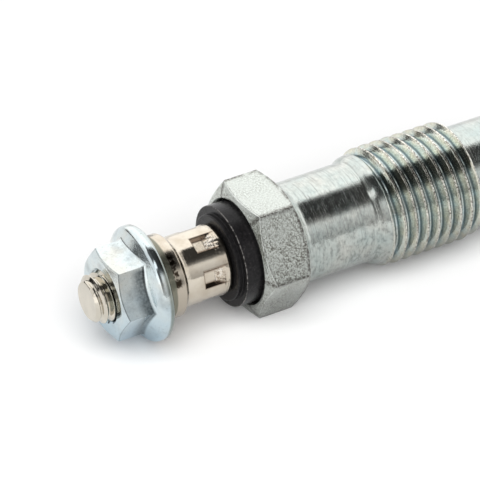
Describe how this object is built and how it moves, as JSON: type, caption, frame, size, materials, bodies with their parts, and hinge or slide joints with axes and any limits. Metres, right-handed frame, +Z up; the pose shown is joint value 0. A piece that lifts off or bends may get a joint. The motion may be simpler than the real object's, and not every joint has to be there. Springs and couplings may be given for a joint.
{
  "type": "diesel glow plug",
  "caption": "Sheathed diesel glow plug with a hexagon steel body, rolled thread, cone seat, rounded glow tube and a threaded terminal stud with a flange nut.",
  "frame": {"origin": "on the ground below the middle of the plug's length, straight under its axis", "axes": "+X along the plug's axis from the terminal stud towards the tip of the glow tube, +Z up, away from the flat of the hexagon that it rests on"},
  "size_m": [0.0708, 0.0138, 0.012],
  "materials": {
    "zinc_plated_steel": "bright zinc plating over fine turning marks, slightly iridescent on the thread",
    "nickel_plated_steel": "warm bright nickel plating, nearly mirror smooth",
    "blue_zinc_steel": "blue-white zinc plating, smooth and glossy",
    "black_phenolic": "moulded black phenolic, matte in front and satin on the side",
    "black_rubber": "matte",
    "red_silicone": "matte",
    "heat_resistant_alloy": "ground nickel alloy with a satin finish",
    "coil_wire": "drawn wire",
    "magnesia": "pressed white powder"
  },
  "bodies": {
    "root": {"plug_body": "zinc_plated_steel", "terminal_pin": "nickel_plated_steel", "flange_nut": "blue_zinc_steel", "crimp_sleeve": "nickel_plated_steel", "insulating_washer": "black_phenolic", "sealing_ring": "black_rubber", "glow_tube": "heat_resistant_alloy", "tube_seal": "red_silicone", "regulating_coil": "coil_wire", "heating_coil": "coil_wire", "magnesia_filling": "magnesia"}
  },
  "joints": []
}
